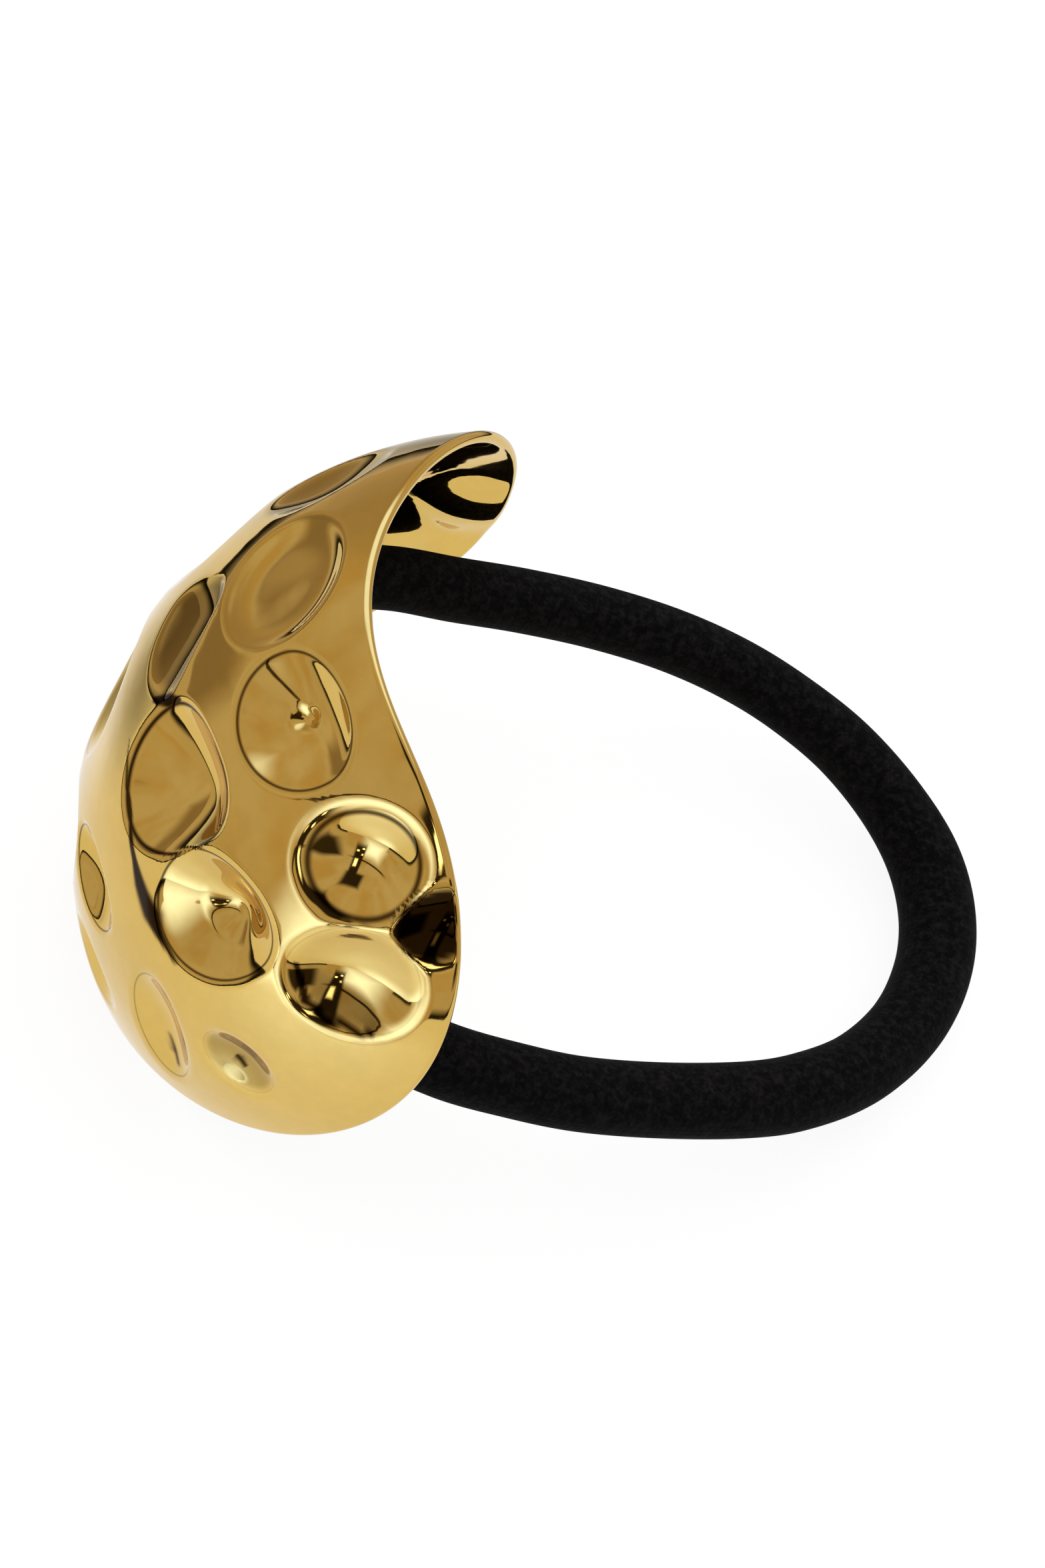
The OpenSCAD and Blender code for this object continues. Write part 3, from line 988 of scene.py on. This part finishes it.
def studio_light(world):
    """A pale tent with bright and dark panels, for reflections only.

    The camera sees a plain white backdrop, and cloth and floor have a soft light from above. A panel
    fades where the larger of a direction's two slopes from its middle, as parts of its half sizes, is
    about 1.
    """
    nodes = Nodes(world)
    direction = nodes.add("ShaderNodeTexCoord").outputs["Generated"]

    def along(axis):
        return nodes.measure("DOT_PRODUCT", direction, axis)

    clouds = nodes.noise(direction, scale=2.4, detail=2).step(low=0.35, high=0.65)
    colour = nodes.mix(clouds, rgb(TENT_WARM), rgb(TENT_PALE))
    for card in CARDS:
        az, el = math.radians(card.azimuth), math.radians(card.elevation)
        middle = Vector((math.cos(az) * math.cos(el), math.sin(az) * math.cos(el), math.sin(el)))
        right = Vector((-math.sin(az), math.cos(az), 0))
        up = middle.cross(right)
        depth = along(middle).at_least(LEAST_DEPTH)
        x = (along(right) / depth).magnitude() / math.tan(math.radians(card.half_width))
        y = (along(up) / depth).magnitude() / math.tan(math.radians(card.half_height))
        mask = x.at_least(y).step(1 + card.soft, 1 - card.soft)
        colour = nodes.mix(mask, colour, rgb(card.colour))
    path = nodes.add("ShaderNodeLightPath")
    soft = nodes.mix(along(SOFT_LIGHT).step(0, 1), rgb((SOFT_DIM,) * 3), rgb((SOFT_BRIGHT,) * 3))
    colour = nodes.mix(path.outputs["Is Diffuse Ray"], colour, soft)
    colour = nodes.mix(path.outputs["Is Camera Ray"], colour, rgb((1.0, 1.0, 1.0)))
    background = nodes.add("ShaderNodeBackground", sockets={"Color": colour, "Strength": 1.0})
    nodes.add("ShaderNodeOutputWorld", sockets={"Surface": background.outputs[0]})
    world.cycles.sampling_method = "NONE"


def disc(name, radius, middle=(0, 0, 0)):
    """A flat round level sheet: one face whose corners lie on a circle."""
    angle = TAU * np.arange(DISC_SIDES) / DISC_SIDES
    rim = np.stack([np.cos(angle), np.sin(angle), np.zeros(DISC_SIDES)], -1) * radius + np.array(middle)
    return make_object(name, rim, [list(range(DISC_SIDES))])


def table_kerb(sizes):
    """An upright strip of painted shade along a part of the table's rim."""
    angle = np.radians(np.linspace(*EDGE_ARC, DISC_SIDES))
    circle = np.stack([np.cos(angle), np.sin(angle), np.zeros(DISC_SIDES)], -1)
    rim = circle * sizes.table_radius + np.array(TABLE_MIDDLE)
    cells = grid_cells(2, DISC_SIDES, False)[:-1]
    return make_object("table_edge", np.concatenate([rim, rim + [0, 0, sizes.edge_height]]), cells.tolist())


def floor_material(sizes):
    """Pale paper that glows a little, so that it stays even in the soft light."""
    material, nodes, place = start_material("pale_floor")
    paper = nodes.noise(place, scale=40, detail=2)
    colour = nodes.mix(paper, *(rgb(sizes.floor, share) for share in FLOOR_SHARES))
    nodes.surface("ShaderNodeBsdfPrincipled", {
        "Base Color": colour,
        "Roughness": 1.0,
        "Specular IOR Level": 0.0,
        "Emission Color": rgb((1, 1, 1)),
        "Emission Strength": FLOOR_GLOW,
    })
    return material


def table_material():
    """White, with pools of brighter light at its front and the soft shadows of the part."""
    material, nodes, place = start_material("table_white")
    colour = rgb((TABLE_LIGHT,) * 3)
    for pool in POOLS:
        away = nodes.measure("DISTANCE", place, pool.middle)
        colour = nodes.mix(away.step(pool.radius, 0) * pool.part, colour, rgb(pool.colour))
    nodes.surface("ShaderNodeEmission", {"Color": colour, "Strength": 1.0})
    return material


def edge_material():
    """Painted shade, near black at the table and fading into the tent above, higher at the back."""
    material, nodes, place = start_material("table_edge_shade")
    split = nodes.add("ShaderNodeSeparateXYZ", sockets={0: place})
    y, z = Maths(nodes, split.outputs[1]), Maths(nodes, split.outputs[2])
    top = y.step(*EDGE_GROWS) * (EDGE_BACK - EDGE_FRONT) + EDGE_FRONT
    fade = ((z - EDGE_DARK) / (top - EDGE_DARK)).step(0, 1)
    colour = nodes.mix(fade, rgb(EDGE_COLOUR), rgb(TENT))
    nodes.surface("ShaderNodeEmission", {"Color": colour, "Strength": 1.0})
    return material


def photo_camera(scene):
    """The camera at the photograph's place and angle."""
    camera = bpy.data.objects.new("camera", bpy.data.cameras.new("camera"))
    scene.collection.objects.link(camera)
    camera.data.sensor_fit = "HORIZONTAL"
    camera.data.sensor_width = SENSOR
    camera.data.lens = SENSOR * FOCAL_PIXELS / FRAME_WIDTH
    camera.location = Vector(CAMERA_PLACE) * MM
    camera.rotation_euler = [math.radians(angle) for angle in CAMERA_TURN]
    return camera


def only_reflected(piece):
    """Leaves a piece of the stage visible in reflections alone."""
    piece.visible_camera = False
    piece.visible_diffuse = False
    piece.visible_shadow = False
    piece.visible_transmission = False


# Operators


class TIE_OT_plate(bpy.types.Operator):
    """Builds the dented plate."""

    bl_idname = "hair_tie.plate"
    bl_label = "Plate"

    def execute(self, context):
        scene = context.scene
        rings, outer, inner, marks = plate_rings(Plate(scene.tie_plate))
        piece = closed_tube("gold_plate", rings, outer, inner)
        # The painted dark edges and painted shade go on the mesh as attributes
        for name, values in marks.items():
            layer = piece.data.attributes.new(name, "FLOAT", "POINT")
            layer.data.foreach_set("value", values.astype(np.float32))
        gold = material_once("polished_gold", lambda: gold_material(scene.tie_finish))
        finish_piece(piece, "plate", gold)
        return {"FINISHED"}


class TIE_OT_bails(bpy.types.Operator):
    """Builds the strap loops and the tongue on the plate's inner face."""

    bl_idname = "hair_tie.bails"
    bl_label = "Strap loops"

    def execute(self, context):
        scene = context.scene
        gold = material_once("polished_gold", lambda: gold_material(scene.tie_finish))
        plate = Plate(scene.tie_plate)
        for bail in BAILS:
            rings, first, last = bail_rings(bail, plate, scene.tie_bails)
            finish_piece(closed_tube(bail.name, rings, first, last), "plate", gold)
        rings, first, last = tongue_rings(plate, scene.tie_bails)
        finish_piece(closed_tube("bail_tongue", rings, first, last), "plate", gold)
        return {"FINISHED"}


class TIE_OT_band(bpy.types.Operator):
    bl_idname = "hair_tie.band"
    bl_label = "Elastic"

    def execute(self, context):
        scene = context.scene
        sizes = scene.tie_band
        rings, length = band_rings(sizes)
        rows, columns = rings.shape[:2]
        quads = grid_cells(rows, columns, True).tolist()
        uv = tube_uv(rows, columns)
        piece = make_object("elastic_band", laid_down(rings).reshape(-1, 3), quads, uv)
        face_outward(piece)
        cover = cover_material(scene.tie_finish, sizes, length)
        finish_piece(piece, "band", cover)
        here = band_line(CORD_POINTS)[0]
        length * MM
        return {"FINISHED"}


class TIE_OT_stage(bpy.types.Operator):
    """Builds the floor, the studio's light and the camera."""

    bl_idname = "hair_tie.stage"
    bl_label = "Stage"

    def execute(self, context):
        scene = context.scene
        sizes = scene.tie_stage
        floor = disc("floor", sizes.floor_radius)
        floor.visible_glossy = False
        floor.data.materials.append(floor_material(sizes))

        table = disc("table_top", sizes.table_radius, TABLE_MIDDLE)
        table.data.materials.append(table_material())
        kerb = table_kerb(sizes)
        kerb.data.materials.append(edge_material())
        for piece in (table, kerb):
            only_reflected(piece)

        scene.world = bpy.data.worlds.new("studio")
        studio_light(scene.world)
        scene.camera = photo_camera(scene)
        scene.view_settings.view_transform = "Standard"
        return {"FINISHED"}


OPERATORS = (TIE_OT_stage, TIE_OT_plate, TIE_OT_bails, TIE_OT_band)


class TIE_PT_panel(bpy.types.Panel):
    """Lists the pieces and their sizes."""

    bl_idname = "TIE_PT_panel"
    bl_label = "Hair Tie"
    bl_space_type = "VIEW_3D"
    bl_region_type = "UI"
    bl_category = "Hair Tie"

    def draw(self, context):
        for operator in OPERATORS:
            self.layout.operator(operator.bl_idname)
        for name in GROUPS:
            group = getattr(context.scene, name)
            box = self.layout.box()
            for key in group.bl_rna.properties.keys():
                if key not in ("rna_type", "name"):
                    box.prop(group, key)


def register():
    """Registers the groups of sizes, the operators and the panel."""
    for name, group in GROUPS.items():
        bpy.utils.register_class(group)
        setattr(bpy.types.Scene, name, PointerProperty(type=group))
    for operator in OPERATORS:
        bpy.utils.register_class(operator)
    bpy.utils.register_class(TIE_PT_panel)


def unregister():
    """Unregisters the panel, the operators and the groups of sizes."""
    bpy.utils.unregister_class(TIE_PT_panel)
    for operator in reversed(OPERATORS):
        bpy.utils.unregister_class(operator)
    for name, group in GROUPS.items():
        delattr(bpy.types.Scene, name)
        bpy.utils.unregister_class(group)


def main():
    """Builds every piece."""
    register()
    for operator in OPERATORS:
        group, name = operator.bl_idname.split(".")
        getattr(getattr(bpy.ops, group), name)()


if __name__ == "__main__":
    main()
